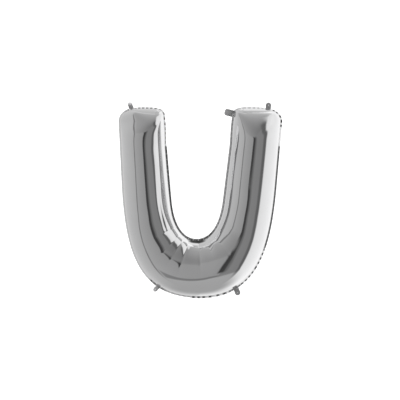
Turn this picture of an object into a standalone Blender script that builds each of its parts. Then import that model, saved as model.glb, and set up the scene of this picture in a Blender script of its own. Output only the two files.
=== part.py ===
"""Foil balloon in the shape of a capital letter U, inflated and floating upright.

Two dished film panels are sealed to each other round the outline of the letter. The sealed
edge carries four hanging tabs, and the filling tail with its flat valve leaves the inner top
corner of the right arm. Metres, +Z up, X across the letter, the front panel towards -Y.
The origin is the balloon's centre, in the plane of the sealed edge.
"""

import math

import bmesh
import bpy
import numpy as np
from mathutils import Matrix, Vector

# Film and sealed edge
FILM_THICKNESS = 0.0011
SEAL_THICKNESS = 0.0012
SEAL_WIDTH = 0.009
SEAL_UNDERLAP = 0.0024
GAP = 0.0003
LIP_HEIGHT = 0.0015

# Seam line of the letter: right half of the outer and of the inner curve.
# Each is one cubic curve from the bottom to the waist and a straight arm above it.
OUTER_BOTTOM_Z = -0.492
OUTER_BOTTOM_REACH = 0.308
OUTER_WAIST = (0.401, 0.098)
OUTER_WAIST_REACH = 0.356
OUTER_TOP_X = 0.4285
INNER_BOTTOM_Z = -0.2025
INNER_BOTTOM_REACH = 0.062
INNER_WAIST = (0.144, 0.0095)
INNER_WAIST_REACH = 0.156
INNER_TOP_X = 0.1945
INNER_SHIFT_X = -0.009
GUIDE_TOP_Z = 0.495
# height of each arm's top seam, left (-1) and right (1)
ARM_TOP_Z = {-1: 0.4895, 1: 0.501}
CORNER_RADIUS = 0.040
TOP_EDGE_ARCH = 0.006

# Fullness of the inflated tube
BEND_CENTRE_Z = -0.070
BEND_DEPTH_SHARE = 0.84
# how far down each arm's rounded end reaches, as a share of the tube's depth
END_REACH = {-1: 1.2, 1: 1.4}
END_SHARPNESS = 6.0

# Creases that the inflated film takes at the bend
INNER_CREASE_DEPTH = 0.0035
OUTER_PUCKER_DEPTH = 0.0030

# Mesh density
ARM_END_STEPS = 8
ARM_ROWS = 7
BEND_ROWS = 24
ACROSS = 12
CURVE_SAMPLES = 240

# Hanging tabs: a round head on a narrower neck, with a punched hole
TAB_HEAD_RADIUS = 0.013
TAB_NECK_HALF_WIDTH = 0.0095
TAB_LENGTH = 0.038
TAB_ROOT = 0.020
TAB_HOLE_RADIUS = 0.0025
TAB_THICKNESS = 0.0012
# name, x and z where the tab leaves the edge, lean of its axis from +Z towards +X in degrees
TABS = (
    ("hanging_tab_top_left", -0.365, 0.4975, -21.0),
    ("hanging_tab_top_right", 0.356, 0.509, 3.5),
    ("hanging_tab_bottom_left", -0.2065, -0.4486, -136.0),
    ("hanging_tab_bottom_right", 0.2047, -0.4506, 157.0),
)

# Filling tail at the inner top corner of the right arm
TAIL_START = (0.1766, 0.4757)
TAIL_LEAN = -75.5
TAIL_ROOT = 0.030
TAIL_CORNER_RADIUS = 0.012
# name, width, length past the start, thickness, y of its middle
TAIL_LAYERS = (
    ("filling_tail_front", 0.032, 0.041, 0.0006, -0.0008),
    ("valve_film", 0.018, 0.044, 0.0004, 0.0),
    ("filling_tail_back", 0.032, 0.041, 0.0006, 0.0008),
)
ARC_STEPS = 12


def clear_scene():
    for obj in list(bpy.data.objects):
        bpy.data.objects.remove(obj, do_unlink=True)


def new_collection(name):
    collection = bpy.data.collections.new(name)
    bpy.context.scene.collection.children.link(collection)
    return collection


def new_material(name, color, roughness, metallic):
    material = bpy.data.materials.new(name)
    material.use_nodes = True
    shader = material.node_tree.nodes["Principled BSDF"]
    shader.inputs["Base Color"].default_value = (*color, 1.0)
    shader.inputs["Roughness"].default_value = roughness
    shader.inputs["Metallic"].default_value = metallic
    return material


def guide_curve(bottom_z, bottom_reach, waist, waist_reach, top_x):
    """Samples of one seam curve's right half, from the bottom up to the arm's top."""
    bottom = np.array([0.0, bottom_z])
    middle = np.array(waist)
    top = np.array([top_x, GUIDE_TOP_Z])
    along_arm = (top - middle) / np.linalg.norm(top - middle)
    from_bottom = bottom + np.array([bottom_reach, 0.0])
    to_waist = middle - along_arm * waist_reach
    t = np.linspace(0.0, 1.0, CURVE_SAMPLES)[:, None]
    bend = (1 - t) ** 3 * bottom + 3 * (1 - t) ** 2 * t * from_bottom
    bend += 3 * (1 - t) * t**2 * to_waist + t**3 * middle
    arm = middle + t[1:] * (top - middle)
    return np.vstack([bend, arm])


OUTER_GUIDE = guide_curve(
    OUTER_BOTTOM_Z, OUTER_BOTTOM_REACH, OUTER_WAIST, OUTER_WAIST_REACH, OUTER_TOP_X
)
INNER_GUIDE = guide_curve(
    INNER_BOTTOM_Z, INNER_BOTTOM_REACH, INNER_WAIST, INNER_WAIST_REACH, INNER_TOP_X
)


def point_at_height(guide, side, shift, z):
    """The point of a guide at a height, on the left (side -1) or right (side 1)."""
    x = np.interp(z, guide[:, 1], guide[:, 0])
    return np.array([shift + side * x, z])


def point_at_angle(guide, side, shift, angle):
    """The point of a guide on a ray from the bend's centre, angle from straight down."""
    x = side * guide[:, 0] + shift - INNER_SHIFT_X
    z = guide[:, 1] - BEND_CENTRE_Z
    below = z < 0.05
    angles = np.arctan2(side * x[below], -z[below])
    radii = np.hypot(x[below], z[below])
    radius = np.interp(angle, angles, radii)
    across = side * radius * math.sin(angle)
    return np.array([INNER_SHIFT_X + across, BEND_CENTRE_Z - radius * math.cos(angle)])


def arm_rows(side):
    """Rows of one arm from its top down: outer point, inner point, distance from the top,
    reach of the arm's end, fold."""
    mean_radius = (OUTER_TOP_X - INNER_TOP_X) / 2
    steps = np.linspace(0.0, math.pi / 2, ARM_END_STEPS + 1)
    drops = list(END_REACH[side] * mean_radius * (1.0 - np.cos(steps)))
    last = ARM_TOP_Z[side] - BEND_CENTRE_Z
    drops += list(np.linspace(drops[-1], last, ARM_ROWS + 1)[1:])
    rows = []
    for drop in drops:
        z = ARM_TOP_Z[side] - drop
        outer = point_at_height(OUTER_GUIDE, side, 0.0, z)
        inner = point_at_height(INNER_GUIDE, side, INNER_SHIFT_X, z)
        if drop < CORNER_RADIUS:
            rise = 1.0 - drop / CORNER_RADIUS
            cut = CORNER_RADIUS * (1.0 - math.sqrt(1.0 - rise * rise))
            outer[0] -= side * cut
            inner[0] += side * cut
        rows.append((outer, inner, drop, END_REACH[side], 0.0))
    return rows


def bend_rows():
    """Rows of the bend from left to right, the fold of each row alternating in sign."""
    rows = []
    for k in range(1, BEND_ROWS):
        turn = math.pi * (k / BEND_ROWS - 0.5)
        side = -1 if turn < 0 else 1
        outer = point_at_angle(OUTER_GUIDE, side, 0.0, abs(turn))
        inner = point_at_angle(INNER_GUIDE, side, INNER_SHIFT_X, abs(turn))
        fold = (-1) ** k * math.cos(turn) ** 0.5
        drop = ARM_TOP_Z[side] - BEND_CENTRE_Z
        rows.append((outer, inner, drop, END_REACH[side], fold))
    return rows


def letter_rows():
    """All rows round the letter, from the left arm's top to the right arm's top."""
    return arm_rows(-1) + bend_rows() + arm_rows(1)[::-1]


def tube_depth(outer, inner, drop, end_reach, across):
    """Depth of the film in front of the seam plane, across from -1 (outer) to 1 (inner)."""
    half_width = np.linalg.norm(outer - inner) / 2
    middle_z = (outer[1] + inner[1]) / 2
    into_bend = min(1.0, max(0.0, (BEND_CENTRE_Z + 0.15 - middle_z) / 0.40))
    into_bend = into_bend * into_bend * (3.0 - 2.0 * into_bend)
    full = half_width * (1.0 - (1.0 - BEND_DEPTH_SHARE) * into_bend)
    side = full * math.cos(math.pi / 2 * across)
    short = max(0.0, 1.0 - drop / (end_reach * full))
    end = full * math.sqrt(1.0 - short * short)
    if min(side, end) < 1e-6:
        return 0.0
    mixed = side**-END_SHARPNESS + end**-END_SHARPNESS - full**-END_SHARPNESS
    return mixed ** (-1.0 / END_SHARPNESS)


def crease_lift(fold, across):
    """Creases fan out from the inner seam, and short puckers run in from the outer one."""
    from_inner = (1.0 - across) / 2
    fan = math.sin(math.pi * min(1.0, from_inner / 0.62)) ** 1.5
    pucker = max(0.0, (from_inner - 0.70) / 0.30)
    pucker = math.sin(math.pi * pucker)
    return fold * (INNER_CREASE_DEPTH * fan + OUTER_PUCKER_DEPTH * pucker)


def panel_mesh(name, facing):
    """One dished film panel, open at its rim; facing is -1 for the front and 1 for the back."""
    bm = bmesh.new()
    rim_y = SEAL_THICKNESS / 2 + GAP
    grid = []
    for outer, inner, drop, end_reach, fold in letter_rows():
        line = []
        middle = (outer + inner) / 2
        half = (inner - outer) / 2
        for j in range(ACROSS + 1):
            across = 2.0 * j / ACROSS - 1.0
            flat = middle + half * math.sin(math.pi / 2 * across)
            lowered = TOP_EDGE_ARCH * across**2 * math.exp(-drop / CORNER_RADIUS)
            depth = tube_depth(outer, inner, drop, end_reach, across)
            if depth > 0.0:
                depth += crease_lift(fold, across)
            y = facing * (rim_y + LIP_HEIGHT + depth)
            line.append(bm.verts.new((flat[0], y, flat[1] - lowered)))
        grid.append(line)
    for a, b in zip(grid[:-1], grid[1:]):
        for j in range(ACROSS):
            corners = [a[j], b[j], b[j + 1], a[j + 1]]
            if facing > 0:
                corners.reverse()
            bm.faces.new(corners)
    rim = [edge for edge in bm.edges if edge.is_boundary]
    lip = bmesh.ops.extrude_edge_only(bm, edges=rim)
    lip_verts = [item for item in lip["geom"] if isinstance(item, bmesh.types.BMVert)]
    bmesh.ops.translate(bm, verts=lip_verts, vec=(0.0, -facing * LIP_HEIGHT, 0.0))
    bmesh.ops.recalc_face_normals(bm, faces=bm.faces)
    highest = max(bm.faces, key=lambda face: facing * face.calc_center_median().y)
    if highest.normal.y * facing < 0:
        bmesh.ops.reverse_faces(bm, faces=bm.faces)
    mesh = bpy.data.meshes.new(name)
    bm.to_mesh(mesh)
    bm.free()
    mesh.shade_smooth()
    return mesh


def make_panel(name, facing, material, collection):
    obj = bpy.data.objects.new(name, panel_mesh(name, facing))
    obj.data.materials.append(material)
    collection.objects.link(obj)
    wall = obj.modifiers.new("film", "SOLIDIFY")
    wall.thickness = FILM_THICKNESS
    wall.offset = -1.0
    wall.use_even_offset = True
    return obj


def seam_outline():
    """The closed seam line in X and Z, once round the letter from the left arm's top."""
    rows = letter_rows()

    def top_edge(row):
        outer, inner = row[:2]
        middle = (outer + inner) / 2
        half = (inner - outer) / 2
        for j in range(ACROSS + 1):
            across = 2.0 * j / ACROSS - 1.0
            point = middle + half * math.sin(math.pi / 2 * across)
            yield point - np.array([0.0, TOP_EDGE_ARCH * across**2])

    def lowered(point, drop):
        return point - np.array([0.0, TOP_EDGE_ARCH * math.exp(-drop / CORNER_RADIUS)])

    inner_side = [lowered(row[1], row[2]) for row in rows[1:-1]]
    outer_side = [lowered(row[0], row[2]) for row in rows[1:-1]]
    loop = list(top_edge(rows[0]))
    loop += inner_side
    loop += list(top_edge(rows[-1]))[::-1]
    loop += outer_side[::-1]
    return np.array(loop)


def offset_outline(points, distance):
    """The outline moved outwards, away from the film, by a distance."""
    before = np.roll(points, 1, axis=0)
    after = np.roll(points, -1, axis=0)
    along_in = (points - before) / np.linalg.norm(points - before, axis=1)[:, None]
    along_out = (after - points) / np.linalg.norm(after - points, axis=1)[:, None]
    along = along_in + along_out
    along /= np.linalg.norm(along, axis=1)[:, None]
    outward = np.column_stack([-along[:, 1], along[:, 0]])
    stretch = (along * along_in).sum(axis=1)[:, None]
    return points + distance * outward / stretch


def flat_plate(name, outlines, thickness, collection):
    """A plate in the X-Z plane from an outer outline and its holes, made a closed mesh."""
    curve = bpy.data.curves.new(name, "CURVE")
    curve.dimensions = "2D"
    curve.fill_mode = "BOTH"
    curve.extrude = thickness / 2
    for outline in outlines:
        spline = curve.splines.new("POLY")
        spline.points.add(len(outline) - 1)
        for point, (x, z) in zip(spline.points, outline):
            point.co = (x, z, 0.0, 1.0)
        spline.use_cyclic_u = True
    drawn = bpy.data.objects.new(name + "_curve", curve)
    drawn.rotation_euler = (math.pi / 2, 0.0, 0.0)
    collection.objects.link(drawn)
    bpy.context.view_layer.update()
    graph = bpy.context.evaluated_depsgraph_get()
    mesh = bpy.data.meshes.new_from_object(drawn.evaluated_get(graph))
    bm = bmesh.new()
    bm.from_mesh(mesh)
    bmesh.ops.remove_doubles(bm, verts=bm.verts, dist=1e-6)
    bmesh.ops.recalc_face_normals(bm, faces=bm.faces)
    bm.to_mesh(mesh)
    bm.free()
    mesh.name = name
    obj = bpy.data.objects.new(name, mesh)
    obj.matrix_world = drawn.matrix_world.copy()
    collection.objects.link(obj)
    bpy.data.objects.remove(drawn, do_unlink=True)
    return obj


def circle(radius, centre):
    turns = [2.0 * math.pi * k / ARC_STEPS for k in range(ARC_STEPS)]
    return [(centre[0] + radius * math.cos(a), centre[1] + radius * math.sin(a)) for a in turns]


def tab_outlines():
    """A tab standing along +Y of its own plane: the keyhole outline and the punched hole."""
    centre_y = TAB_LENGTH - TAB_HEAD_RADIUS
    start = -math.acos(TAB_NECK_HALF_WIDTH / TAB_HEAD_RADIUS)
    sweep = math.pi - 2.0 * start
    outline = [(-TAB_NECK_HALF_WIDTH, -TAB_ROOT), (TAB_NECK_HALF_WIDTH, -TAB_ROOT)]
    for k in range(ARC_STEPS + 1):
        turn = start + sweep * k / ARC_STEPS
        x = TAB_HEAD_RADIUS * math.cos(turn)
        outline.append((x, centre_y + TAB_HEAD_RADIUS * math.sin(turn)))
    return [outline, circle(TAB_HOLE_RADIUS, (0.0, centre_y))]


def tail_outline(width, length):
    """One ply of the tail: a strip with a blunt end whose two corners are rounded."""
    half = width / 2
    radius = min(TAIL_CORNER_RADIUS, half * 0.8)
    outline = [(-half, -TAIL_ROOT), (half, -TAIL_ROOT)]
    for corner_x, first in ((half - radius, 0.0), (radius - half, math.pi / 2)):
        for k in range(ARC_STEPS // 2 + 1):
            turn = first + math.pi / 2 * k / (ARC_STEPS // 2)
            x = corner_x + radius * math.cos(turn)
            outline.append((x, length - radius + radius * math.sin(turn)))
    return [outline]


def place_on_edge(obj, x, y, z, lean_degrees):
    """Turns a plate about Y so that its own +Z leans towards +X, and sets it on the edge."""
    turn = Matrix.Rotation(math.radians(lean_degrees), 4, "Y")
    place = Matrix.Translation(Vector((x, y, z)))
    obj.matrix_world = place @ turn @ obj.matrix_world


def cut_off_at_edge(obj, cutter):
    cut = obj.modifiers.new("sealed edge", "BOOLEAN")
    cut.operation = "DIFFERENCE"
    cut.solver = "EXACT"
    cut.object = cutter


def build():
    clear_scene()
    parts = new_collection("letter_foil_balloon")
    helpers = new_collection("cutters")
    front_film = new_material("front film", (0.80, 0.80, 0.81), 0.08, 1.0)
    back_film = new_material("back film", (0.80, 0.80, 0.81), 0.08, 1.0)
    sealed_film = new_material("sealed film", (0.72, 0.72, 0.73), 0.22, 1.0)
    tab_film = new_material("tab film", (0.74, 0.74, 0.75), 0.18, 1.0)
    clear_film = new_material("clear valve film", (0.86, 0.88, 0.88), 0.30, 0.0)

    make_panel("front_panel", -1, front_film, parts)
    make_panel("back_panel", 1, back_film, parts)

    seam = seam_outline()
    seal_loops = [offset_outline(seam, SEAL_WIDTH), offset_outline(seam, -SEAL_UNDERLAP)]
    sealed_edge = flat_plate("sealed_edge", seal_loops, SEAL_THICKNESS, parts)
    sealed_edge.data.materials.append(sealed_film)

    edge_cutter = flat_plate(
        "edge_cutter", [offset_outline(seam, SEAL_WIDTH + GAP)], 0.02, helpers
    )
    edge_cutter.hide_render = True
    edge_cutter.display_type = "WIRE"

    for name, x, z, lean in TABS:
        tab = flat_plate(name, tab_outlines(), TAB_THICKNESS, parts)
        tab.data.materials.append(tab_film)
        place_on_edge(tab, x, 0.0, z, lean)
        cut_off_at_edge(tab, edge_cutter)

    for name, width, length, thickness, y in TAIL_LAYERS:
        layer = flat_plate(name, tail_outline(width, length), thickness, parts)
        layer.data.materials.append(clear_film if name == "valve_film" else tab_film)
        place_on_edge(layer, TAIL_START[0], y, TAIL_START[1], TAIL_LEAN)
        cut_off_at_edge(layer, edge_cutter)


build()
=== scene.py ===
"""Looks of the inflated foil letter U: film, sealed edge, tabs, filling tail and studio.

Laid out as an add-on and run as a script. Metres, +Z up, X across the letter, front to -Y.
"""

import math

import bpy
import numpy as np
from mathutils import Matrix, Vector


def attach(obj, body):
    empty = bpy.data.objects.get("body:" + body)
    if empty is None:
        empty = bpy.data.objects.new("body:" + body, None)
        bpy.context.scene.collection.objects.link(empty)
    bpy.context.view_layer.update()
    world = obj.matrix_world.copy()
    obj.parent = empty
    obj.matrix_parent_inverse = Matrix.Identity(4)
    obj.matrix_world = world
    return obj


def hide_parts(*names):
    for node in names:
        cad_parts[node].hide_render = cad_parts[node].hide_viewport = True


bl_info = {
    "name": "Letter Foil Balloon",
    "version": (1, 0, 0),
    "blender": (4, 5, 0),
    "location": "View3D > Sidebar > Balloon",
    "description": "Builds the film, sealed edge, tabs and filling tail of a foil letter",
    "category": "Add Mesh",
}

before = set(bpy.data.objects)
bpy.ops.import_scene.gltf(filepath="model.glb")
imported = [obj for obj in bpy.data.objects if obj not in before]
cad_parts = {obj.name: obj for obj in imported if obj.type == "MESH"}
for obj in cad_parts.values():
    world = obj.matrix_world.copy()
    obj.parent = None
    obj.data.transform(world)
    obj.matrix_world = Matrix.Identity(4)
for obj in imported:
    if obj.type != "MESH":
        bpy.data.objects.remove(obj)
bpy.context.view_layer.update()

# Seam line of the letter, the same driving sizes as the solids have, its foot 4 mm lower
OUTER_BOTTOM_Z = -0.496
OUTER_BOTTOM_REACH = 0.308
OUTER_WAIST = (0.401, 0.098)
OUTER_WAIST_REACH = 0.356
OUTER_TOP_X = 0.4285
INNER_BOTTOM_Z = -0.2025
INNER_BOTTOM_REACH = 0.062
INNER_WAIST = (0.144, 0.0095)
INNER_WAIST_REACH = 0.156
INNER_TOP_X = 0.1945
INNER_SHIFT_X = -0.009
GUIDE_TOP_Z = 0.495
ARM_TOP_Z = {-1: 0.4895, 1: 0.501}
# Width and height of the rounding at the outer and at the inner corner of an arm's top
OUTER_CORNER = (0.085, 0.070)
INNER_CORNER = (0.030, 0.030)
# How far the inner seam flares into the opening at the arm tops, and between which
# distances from the top it dies out
INNER_FLARE = 0.0060
INNER_FLARE_FADE = (0.09, 0.20)
# How far the ends of a top edge lie below its middle, and how soon that dies out below it
TOP_EDGE_ARCH = 0.006
TOP_EDGE_FADE = 0.040
# How far the tube's closing curve reaches down from an arm's top, as a share of its depth
END_REACH = {-1: 1.2, 1: 1.4}
# Round the bend the film is less deep, from one height down to another. It is flatter
# left of the bend's lowest point and fuller right of it, between two bend angles.
BEND_CENTRE_Z = -0.070
BEND_DEPTH_SHARE = 0.84
BEND_DEPTH_HEIGHTS = (0.08, -0.32)
BEND_SWAY = 0.15
BEND_SWAY_ANGLES = (-42.0, 50.0)
BEND_SWAY_FADE = 90.0
# How far the ridge lies towards the inner seam, at some bend angles and at the arm tops
SKEW_ANGLES = (-90.0, 12.0, 41.0, 60.0, 70.0, 79.0, 90.0)
SECTION_SKEW = (0.02, 0.03, -0.038, -0.022, -0.007, 0.017, 0.03)
TOP_SKEW = {-1: 0.36, 1: 0.0}
TOP_SKEW_FADE = 0.112
# Flanks beside the inner seam, leaner where the amount is above 0 and fuller below: the
# middle and width across the panel, then bend angles and the amount at each
FLANKS = (
    (0.60, 0.20, (-150.0, -124.0, -105.0, -72.0, -20.0, 40.0), (0.0, 0.01, 0.03, 0.0, -0.05, 0.0)),
    (0.72, 0.15, (42.0, 62.0, 142.0, 165.0), (0.0, -0.035, -0.035, 0.0)),
)

# Slope of the sealed edge towards the back: everywhere, and by zones of the letter.
# Zone: name, x from and to, z from and to, slope, how dark the painted shade in its
# folds is from 0 to 1, width as a share of the seal width
EDGE_LEAN = 0.02
EDGE_ZONES = (
    ("outer side of the left arm", -0.47, -0.25, -0.42, 0.47, 1.70, 0.0, 1.0),
    ("inner side of the right arm", 0.08, 0.22, -0.20, 0.47, 0.10, 0.0, 1.0),
    ("top of the left arm", -0.37, -0.19, 0.475, 0.53, 1.30, 0.60, 1.0),
    ("inner side of the left arm", -0.225, -0.14, 0.295, 0.47, 0.60, 0.75, 0.75),
    ("top of the right arm", 0.17, 0.345, 0.475, 0.53, 1.60, 0.12, 1.0),
    ("corner of the right arm", 0.365, 0.47, 0.395, 0.53, 1.00, 1.0, 1.0),
    ("outer side of the right arm", 0.38, 0.47, 0.31, 0.395, 1.00, 0.0, 1.0),
    ("right of the bend", 0.225, 0.42, -0.46, -0.235, 1.20, 0.92, 1.0),
    ("left of the foot", -0.16, -0.03, -0.53, -0.44, 1.50, 0.25, 1.0),
    ("foot of the bend", -0.03, 0.175, -0.53, -0.46, 2.20, 0.95, 1.35),
    ("foot of the inner bend", -0.06, 0.055, -0.24, -0.185, 0.02, 0.0, 1.1),
)
EDGE_ZONE_FADE = 0.012
# Rings of the sealed edge, as shares of its width: the first lies inside the panels
EDGE_RINGS = (-0.35, 0.0, 0.33, 0.66, 1.0)
# Waves of the sealed edge. Slow waves shift them and change their height: count round
# the letter, start and size. At the foot, between two shares of the way, some are left out.
RUFFLE_DRIFT = ((7.0, 0.0, 2.2), (17.0, 1.0, 1.1))
RUFFLE_OVERTONE = (0.8, 0.22)
RUFFLE_HEIGHT = 0.85
RUFFLE_HEIGHT_DRIFT = ((11.0, 2.0, 0.30),)
FOOT_SHARES = (0.262, 0.338)
FOOT_WAVES_LESS = 3.0
# Where spare film puckers the seam: between two heights up the arms, between two down
# round the outer bend, a little everywhere, and hardly beside a tab
PUCKER_UP = (0.30, 0.47)
PUCKER_DOWN = (-0.12, -0.28)
PUCKER_RADIUS = 0.25
PUCKER_LEAST = 0.12
TAB_HOLD = 0.85
TAB_HOLD_REACH = 0.022

# Mesh density of the film
CURVE_SAMPLES = 900
END_ROWS = 40
ARM_ROWS = 96
BEND_ROWS = 200
ACROSS = 80
ROW_SMOOTHING = 9
# Samples of a guide up to this height above the bend's centre belong to the bend
BEND_UP_TO = 0.05
# Up the arms the bend angle runs on past 90, by so many degrees for each metre
ARM_DEGREES = 160.0

# Creases that fan out from the inner bend: angle from straight down in degrees, the
# share of the panel's width that it reaches, and how deep it is as a share of the depth
BEND_CREASES = (
    (-61.0, 0.52, 0.9),
    (-42.0, 0.60, 1.0),
    (-30.0, 0.60, 0.8),
    (-17.0, 0.64, 1.2),
    (5.0, 0.60, 1.1),
    (22.0, 0.42, 0.6),
    (39.0, 0.36, 0.4),
)
# A crease's section is a wide and a narrow valley: degrees and share of each. It comes in
# over a stretch beside the seam and dies out from a share of its reach on.
CREASE_VALLEYS = ((6.5, 0.6), (1.5, 0.4))
CREASE_RISE = (0.02, 0.14)
CREASE_FADE_FROM = 0.55
# Grooves along the arms' inner sides: place and width as shares of the panel's width, how
# deep, bend angles between which it comes in and those between which it dies out
GROOVES = (
    (0.31, 0.022, 1.0, -135.0, -95.0, -70.0, -54.0),
    (0.145, 0.018, 0.8, 38.0, 56.0, 146.0, 160.0),
)
# Hollow beside the inner seam at the foot of the bend: bend angles where it comes in and
# dies out, and the same as shares of the panel's width
HOLLOW_ANGLES = (-26.0, -10.0, 16.0, 34.0)
HOLLOW_SHARES = (0.0, 0.07, 0.22, 0.43)
# Painted shade beside the seam at the foot of the inner bend: bend angles, and where it ends
GUTTER_ANGLES = (-24.0, -10.0, 12.0, 26.0)
GUTTER_END = (0.0368, 0.046)
# Pleats beside the inner seam: slow waves that shift them, where they come in, their reach
PLEAT_DRIFT = ((9.0, 0.0, 1.4), (23.0, 1.0, 0.7))
PLEAT_RISE = (0.004, 0.02)
PLEAT_REACH = 0.05

# Hanging tabs: name, x and z on the edge, lean from +Z towards +X, twist, curl, half
# the width of the neck, radius of the head, length
TABS = (
    ("hanging_tab_top_left", -0.368, 0.4975, -21.0, 38.0, 0.03, 0.0122, 0.0130, 0.0275),
    ("hanging_tab_top_right", 0.3575, 0.509, 3.5, 8.0, 0.03, 0.0138, 0.0148, 0.0250),
    ("hanging_tab_bottom_left", -0.2065, -0.4486, -136.0, 44.0, 0.05, 0.0110, 0.0130, 0.0330),
    ("hanging_tab_bottom_right", 0.2047, -0.4506, 157.0, 8.0, 0.03, 0.0142, 0.0148, 0.0380),
)
TAB_ROOT = 0.010
TAB_HOLE_RADIUS = 0.0013
TAB_THICKNESS_SHARE = 0.8
TAB_HEAD_POINTS = 200
TAB_RING_POINTS = 96
TAB_RINGS = 18
TAB_CRUMPLES = 40.0
TAB_SEED_STEP = 1.7

# Filling tail: its place on the edge, lean from +Z towards +X, and the bend of its tip
# to the back. Ply: name, width, length, y of its middle.
TAIL_START = (0.1712, 0.4715)
TAIL_LEAN = -75.5
TAIL_ROOT = 0.012
TAIL_BEND = 0.010
TAIL_PLIES = (
    ("filling_tail_front", 0.036, 0.045, -0.0010),
    ("valve_film", 0.018, 0.044, 0.0),
    ("filling_tail_back", 0.034, 0.044, 0.0010),
)
TAIL_THICKNESS = 0.0002
TAIL_ROWS = 48
TAIL_COLUMNS = 32
# Far corners of a ply: radius, or a share of its width where that is less
TAIL_CORNER = 0.0125
TAIL_CORNER_SHARE = 0.42
# How much of its y a ply has at its root, and how much more at its tip
PLY_ROOT_SHARE = 0.5
PLY_TIP_SHARE = 0.9
# Folds of the tail: slant, waves along them and the size of these, fine crumples
FOLD_SLANT = 0.8
FOLD_WAVES = 130.0
FOLD_WAVE_SIZE = 1.2
TAIL_CRUMPLES = 60.0
TAIL_SEED = 3.0

# Finishes: roughness and depth of the crinkle. The panels' crinkle grows at the seams.
SEAL_FINISH = (0.10, 1.0e-4)
TAB_FINISH = (0.34, 8e-5)
TAIL_FINISH = (0.26, 1e-4)
PANEL_CRINKLE = 2e-5
SEAM_CRINKLE = 1.2e-4
SEAM_CRINKLE_REACH = 0.018
# Share of the film's colour left in its duller patches and under painted shade in folds
PATCH_TONE = 0.94
PAINTED_SHADE_TONE = 0.02
# Fine streaks along the seams: count for a metre across and for once round the letter
STREAKS_ACROSS = 130.0
STREAKS_ROUND = 40.0
STREAK_DEPTH = 2e-5
VALVE_COLOR = (0.9, 0.92, 0.92)

# x and z of the point that the camera looks at
PICTURE_CENTRE = (0.0061, 0.0131)
SENSOR_WIDTH = 36.0
CLIP = (0.05, 60.0)

# What stands round the studio and is mirrored by the film, each laid over the ones before:
# name, azimuth from and to (0 towards the camera, + to the right), softness, elevation
# from and to, softness, brightness at its left and at its right end
STUDIO_PARTS = (
    ("left wall", -210.0, -50.0, 2.0, -90.0, 90.0, 5.0, 0.82, 0.48),
    ("front wall, upper part", -48.0, 52.0, 3.0, -20.0, 90.0, 5.0, 0.40, 0.17),
    ("ceiling", -210.0, 210.0, 1.0, 60.0, 190.0, 42.0, 0.56, 0.50),
    ("left side of the ceiling", -140.0, -46.0, 8.0, 40.0, 190.0, 40.0, 0.74, 0.64),
    ("lit wall on the right", 57.0, 168.0, 4.5, -90.0, 80.0, 6.0, 0.88, 1.22),
    ("back corner", 150.0, 210.0, 10.0, -90.0, 62.0, 14.0, 0.97, 0.92),
    ("front wall, left half", -50.0, -2.0, 1.5, -43.0, 8.0, 3.0, 0.44, 0.34),
    ("front wall, right half", -2.0, 52.0, 2.5, -46.0, 8.0, 3.0, 0.26, 0.24),
    ("corner on the left", -52.5, -48.0, 1.5, -44.0, 48.0, 14.0, 0.22, 0.22),
    ("frame of the lit wall", 42.0, 56.0, 3.5, -50.0, 30.0, 14.0, 0.15, 0.12),
    ("foot of the front wall", -44.0, 0.0, 4.0, -45.0, -41.0, 2.0, 0.26, 0.20),
    ("side of the doorway", 2.0, 12.0, 4.0, -36.0, 9.0, 5.0, 0.12, 0.20),
    ("doorway behind the camera", -5.5, 4.5, 2.0, -34.0, 8.0, 3.0, 0.04, 0.07),
)
# Lean of upright borders with height at the left and at the right, and where it comes in
# from left to right and upwards
BORDER_LEAN = (0.0, 0.74)
LEAN_ACROSS = (-0.7, 0.0)
LEAN_UPWARDS = (0.0, 0.3)
# From front to back the borders turn from upright planes into true azimuths
AZIMUTH_FROM = (-0.35, 0.25)
# Rise of the front wall's top edge to the left and to the right of the camera, and the
# azimuths over which it ends
TOP_RISE = (0.20, 0.90)
TOP_RISE_END = (54.0, 75.0)
STUDIO_BASE = 0.45
# The studio's floor: brightness, and the elevations where it starts and is full
STUDIO_FLOOR = (0.43, -41.0, -80.0)

# Floor and backdrop: half the width, where the sweep starts, its radius and the top, the
# stretch over which the floor's painted glow comes in, and how strong it glows
FLOOR_REACH = 12.0
SWEEP_START = 6.0
SWEEP_RADIUS = 2.0
SWEEP_STEPS = 12
BACKDROP_TOP = 7.0
FLOOR_GLOW_STRETCH = (-0.4, 0.35)
FLOOR_GLOW = 0.75
SOFTBOX_SIZE = (2.4, 1.2)
SOFTBOX_POWER = 30.0
SOFTBOX_PLACE = (0.0, 0.6, 2.6)


class Field:
    """A value in a node tree, so that a rule in the tree reads as a formula."""

    def __init__(self, nodes, socket):
        self.nodes = nodes
        self.socket = socket

    def math(self, operation, *others):
        inputs = dict(enumerate((self, *others)))
        return self.nodes.field("ShaderNodeMath", inputs, operation=operation)

    def __add__(self, other):
        return self.math("ADD", other)

    __radd__ = __add__

    def __sub__(self, other):
        return self.math("SUBTRACT", other)

    def __rsub__(self, other):
        return self.math("MULTIPLY", -1.0).math("ADD", other)

    def __mul__(self, other):
        return self.math("MULTIPLY", other)

    def __truediv__(self, other):
        return self.math("DIVIDE", other)

    def __pow__(self, other):
        return self.math("POWER", other)

    def __abs__(self):
        return self.math("ABSOLUTE")

    def sin(self):
        return self.math("SINE")

    def cos(self):
        return self.math("COSINE")

    def at_least(self, low):
        return self.math("MAXIMUM", low)

    def at_most(self, high):
        return self.math("MINIMUM", high)

    def decay(self, reach):
        """1 at 0, dying out over the reach."""
        return (self * -1.0 / reach).math("EXPONENT")

    def smooth(self, low, high):
        """0 below low, 1 above high and an even S between."""
        inputs = {"Value": self, "From Min": low, "From Max": high}
        return self.nodes.field(
            "ShaderNodeMapRange", inputs, "Result", interpolation_type="SMOOTHSTEP"
        )

    def between(self, start, full_from, full_to, end):
        """1 between the two middle values, dying out to 0 at the first and at the last."""
        return self.smooth(start, full_from) * (1.0 - self.smooth(full_to, end))


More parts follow.
